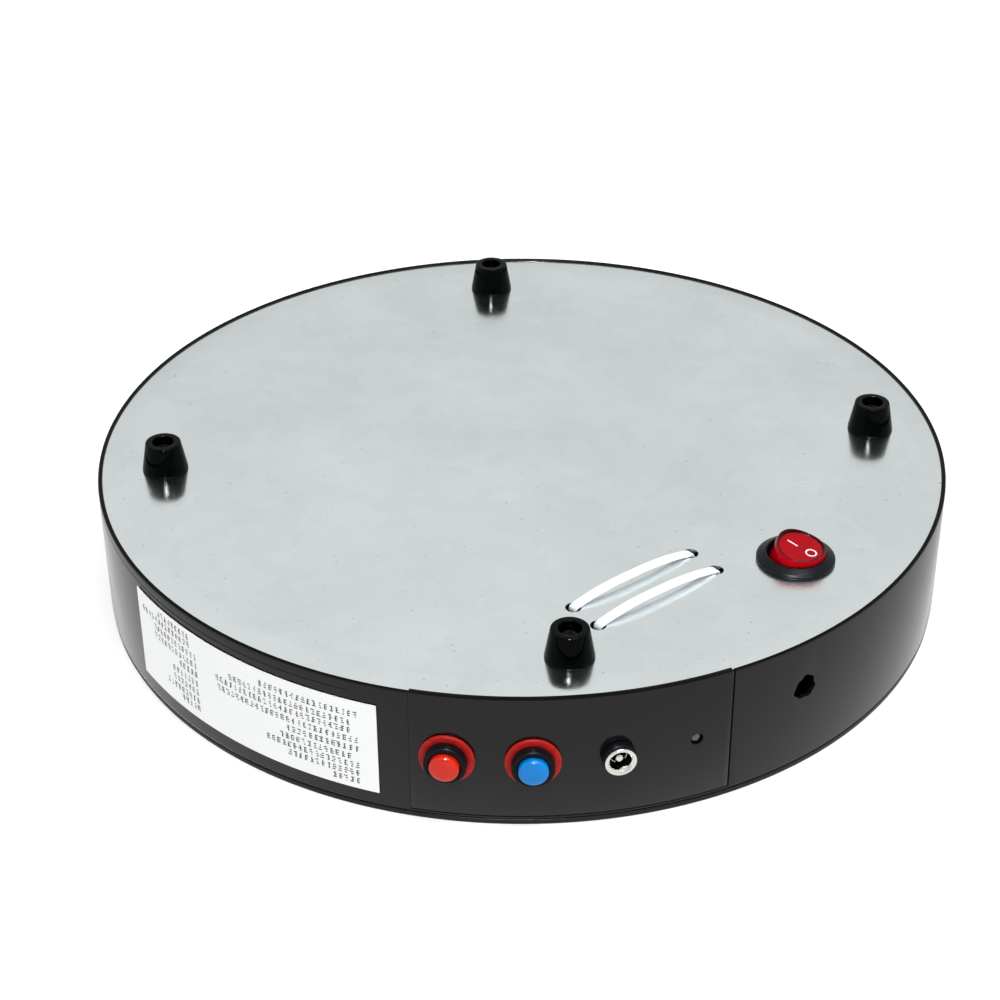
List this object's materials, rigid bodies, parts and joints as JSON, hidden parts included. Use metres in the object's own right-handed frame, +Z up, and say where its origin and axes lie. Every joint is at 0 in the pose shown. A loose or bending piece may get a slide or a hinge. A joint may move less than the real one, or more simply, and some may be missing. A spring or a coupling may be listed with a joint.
{
  "type": "motorised turntable",
  "caption": "Battery-powered rotating turntable: a shallow black drum on rubber feet, with a round platter on top and a side panel of push buttons, power socket and lamp.",
  "frame": {"origin": "under the centre of the bounding box, on the plane of the four feet tips; the platter axis stands 2.81 mm behind it, towards +Y, because the buttons and the socket stand out in front", "axes": "+Z up, parallel to the platter axis, -Y towards the control panel, +X to the right when facing the panel"},
  "size_m": [0.25, 0.2556, 0.0489],
  "materials": {
    "black_gloss": "gloss black injection-moulded ABS",
    "black_rubber": "gloss black moulded rubber",
    "galvanised": "galvanised sheet steel, faintly blotched, dull mirror",
    "steel": "zinc-plated steel",
    "chrome": "bright nickel plate",
    "brass": "turned brass",
    "red_clear": "translucent red plastic, glossy",
    "red_plastic": "satin orange-red plastic",
    "blue_plastic": "satin blue plastic",
    "red_washer": "red fibre sealing washer",
    "white_nylon": "white nylon",
    "paper": "off-white coated paper",
    "blue_wrap": "blue heat-shrink film",
    "board_green": "green circuit board",
    "white_gear": "natural acetal",
    "grey_tyre": "dark grey rubber",
    "lens": "clear lamp resin",
    "red_wire": "red insulation",
    "black_wire": "black insulation",
    "platter_black": "satin black moulded plastic"
  },
  "bodies": {
    "base": {"housing": "black_gloss", "control_panel": "black_gloss", "switch_body": "black_gloss", "red_button_body": "black_gloss", "red_button_nut": "black_gloss", "blue_button_body": "black_gloss", "blue_button_nut": "black_gloss", "jack_barrel": "black_gloss", "base_plate": "galvanised", "label": "paper", "foot_right": "black_rubber", "foot_back": "black_rubber", "foot_left": "black_rubber", "foot_front": "black_rubber", "foot_screw_right": "steel", "foot_screw_back": "steel", "foot_screw_left": "steel", "foot_screw_front": "steel", "cable_tie_1": "white_nylon", "cable_tie_2": "white_nylon", "battery_pack": "blue_wrap", "switch_terminal_1": "brass", "switch_terminal_2": "brass", "spindle_bush": "brass", "red_button_washer": "red_washer", "blue_button_washer": "red_washer", "red_button_spring": "steel", "blue_button_spring": "steel", "jack_nut": "steel", "motor": "steel", "motor_bracket": "steel", "bracket_screw_1": "steel", "bracket_screw_2": "steel", "jack_sleeve": "chrome", "jack_pin": "chrome", "charge_led": "lens", "circuit_board": "board_green", "battery_lead_red": "red_wire", "switch_lead_1": "red_wire", "battery_lead_black": "black_wire", "switch_lead_2": "black_wire", "roller_axle_1": "steel", "roller_axle_2": "steel", "roller_axle_3": "steel", "roller_axle_4": "steel"},
    "platter": {"platter": "platter_black", "spindle": "steel", "drive_gear": "white_gear", "spindle_clip": "steel"},
    "pinion": {"pinion": "white_gear"},
    "rocker": {"rocker": "red_clear"},
    "red_button": {"red_button_cap": "red_plastic"},
    "blue_button": {"blue_button_cap": "blue_plastic"},
    "roller_1": {"roller_1": "grey_tyre"},
    "roller_2": {"roller_2": "grey_tyre"},
    "roller_3": {"roller_3": "grey_tyre"},
    "roller_4": {"roller_4": "grey_tyre"}
  },
  "joints": [
    {"name": "platter_spin", "type": "hinge", "parent": "base", "child": "platter", "pos_m": [0, 0.00281, 0.0456], "axis": [0, 0, 1], "continuous": true},
    {"name": "pinion_spin", "type": "hinge", "parent": "base", "child": "pinion", "pos_m": [0, 0.04031, 0.0362], "axis": [0, 0, 1], "continuous": true},
    {"name": "roller_1_spin", "type": "hinge", "parent": "base", "child": "roller_1", "pos_m": [0.06718, 0.06999, 0.0403], "axis": [0.7071, 0.7071, 0], "continuous": true},
    {"name": "roller_2_spin", "type": "hinge", "parent": "base", "child": "roller_2", "pos_m": [-0.06718, 0.06999, 0.0403], "axis": [-0.7071, 0.7071, 0], "continuous": true},
    {"name": "roller_3_spin", "type": "hinge", "parent": "base", "child": "roller_3", "pos_m": [-0.06718, -0.06437, 0.0403], "axis": [-0.7071, -0.7071, 0], "continuous": true},
    {"name": "roller_4_spin", "type": "hinge", "parent": "base", "child": "roller_4", "pos_m": [0.06718, -0.06437, 0.0403], "axis": [0.7071, -0.7071, 0], "continuous": true},
    {"name": "rocker_tilt", "type": "hinge", "parent": "base", "child": "rocker", "pos_m": [-0.0685, -0.06529, 0.0112], "axis": [0.6428, -0.766, 0], "range_deg": [0, 22]},
    {"name": "red_button_press", "type": "slide", "parent": "base", "child": "red_button", "axis": [-0.2571, 0.9664, 0], "range_m": [0, 0.0022], "stiffness_N_per_m": 600, "springref_m": -0.001, "deforming": ["red_button_spring"]},
    {"name": "blue_button_press", "type": "slide", "parent": "base", "child": "blue_button", "axis": [-0.0837, 0.9965, 0], "range_m": [0, 0.0022], "stiffness_N_per_m": 600, "springref_m": -0.001, "deforming": ["blue_button_spring"]}
  ],
  "couplings": [
    {"joint": "pinion_spin", "follows": "platter_spin", "ratio": -4},
    {"joint": "roller_1_spin", "follows": "platter_spin", "ratio": -19},
    {"joint": "roller_2_spin", "follows": "platter_spin", "ratio": -19},
    {"joint": "roller_3_spin", "follows": "platter_spin", "ratio": -19},
    {"joint": "roller_4_spin", "follows": "platter_spin", "ratio": -19}
  ]
}
